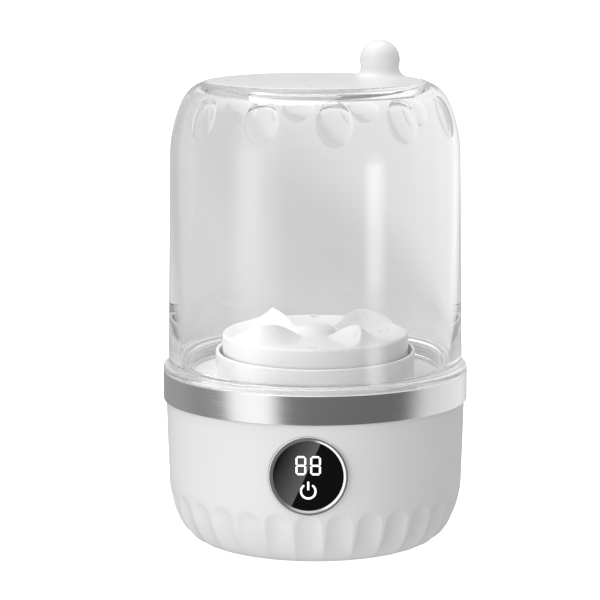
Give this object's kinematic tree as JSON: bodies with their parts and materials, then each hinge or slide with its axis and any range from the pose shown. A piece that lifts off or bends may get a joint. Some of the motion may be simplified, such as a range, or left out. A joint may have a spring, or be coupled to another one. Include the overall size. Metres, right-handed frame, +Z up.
{
  "type": "portable mini washer",
  "caption": "Compact washer with a clear lift-off barrel, a lid with a ball knob, a finned pulsator on a pedestal cup and a round base with a touch display.",
  "frame": {"origin": "on the ground under the centre of the base, in the plane of the feet's undersides", "axes": "+Z up along the barrel and the drive shaft, -Y towards the front with the display, +X to the viewer's right"},
  "size_m": [0.1808, 0.1808, 0.2974],
  "materials": {
    "housing_white": "satin moulded shell",
    "inner_white": "smooth white moulding",
    "lid_white": "satin white moulding",
    "cover_grey": "fine texture",
    "band_steel": "brushed round the ring",
    "bezel_chrome": "bright turned ring",
    "screw_steel": "plated",
    "shaft_steel": "ground",
    "motor_steel": "plated can",
    "bush_bronze": "sintered bronze",
    "pinion_brass": "machined",
    "clear_plastic": "clear polished",
    "lens_black": "polished smoked lens",
    "lit_white": "lit segments",
    "rubber_grey": "matt",
    "rubber_clear": "silicone",
    "board_green": "solder mask",
    "dark_plastic": "moulded",
    "gearbox_grey": "glass-filled moulding",
    "gear_ivory": "acetal",
    "magnet_grey": "sintered ferrite",
    "lead_red": "insulation"
  },
  "bodies": {
    "base": {"base_housing": "housing_white", "bottom_cover": "cover_grey", "rubber_feet": "rubber_grey", "cover_screws": "screw_steel", "steel_band": "band_steel", "tub_floor": "inner_white", "pedestal": "inner_white", "pedestal_screws": "screw_steel", "pedestal_gasket": "rubber_clear", "barrel_gasket": "rubber_clear", "display_bezel": "bezel_chrome", "display_lens": "lens_black", "display_digits": "lit_white", "power_symbol": "lit_white", "display_board": "board_green", "led_module": "dark_plastic", "touch_pad": "rubber_grey", "control_board": "board_green", "board_components": "dark_plastic", "board_screws": "screw_steel", "power_inlet": "screw_steel", "wiring": "lead_red", "motor_can": "motor_steel", "motor_magnets": "magnet_grey", "motor_endbell": "dark_plastic", "motor_screws": "screw_steel", "gearbox_case": "gearbox_grey", "gearbox_cover": "gearbox_grey", "gearbox_screws": "screw_steel", "lower_bush": "bush_bronze", "upper_bush": "bush_bronze", "shaft_seal": "rubber_grey", "idler_pin": "shaft_steel"},
    "pulsator": {"pulsator_disc": "inner_white", "hub_cap": "inner_white", "pulsator_screw": "screw_steel", "drive_shaft": "shaft_steel", "output_gear": "gear_ivory"},
    "idler": {"idler_gear": "gear_ivory"},
    "rotor": {"motor_shaft": "shaft_steel", "rotor_core": "motor_steel", "motor_pinion": "pinion_brass"},
    "barrel": {"clear_barrel": "clear_plastic"},
    "lid": {"lid_plate": "lid_white", "lid_knob": "lid_white", "knob_screw": "screw_steel", "lid_seal": "rubber_clear"}
  },
  "joints": [
    {"name": "pulsator_spin", "type": "hinge", "parent": "base", "child": "pulsator", "pos_m": [0, 0, 0.1], "axis": [0, 0, 1], "continuous": true},
    {"name": "idler_spin", "type": "hinge", "parent": "base", "child": "idler", "pos_m": [0.032, 0, 0.085], "axis": [0, 0, 1], "continuous": true},
    {"name": "motor_spin", "type": "hinge", "parent": "base", "child": "rotor", "pos_m": [0.01616, 0.01584, 0.06], "axis": [0, 0, 1], "continuous": true},
    {"name": "barrel_lift", "type": "slide", "parent": "base", "child": "barrel", "axis": [0, 0, 1], "range_m": [0, 0.06]},
    {"name": "lid_lift", "type": "slide", "parent": "barrel", "child": "lid", "axis": [0, 0, 1], "range_m": [0, 0.05]}
  ],
  "couplings": [
    {"joint": "idler_spin", "follows": "pulsator_spin", "ratio": -3},
    {"joint": "motor_spin", "follows": "pulsator_spin", "ratio": 9}
  ]
}
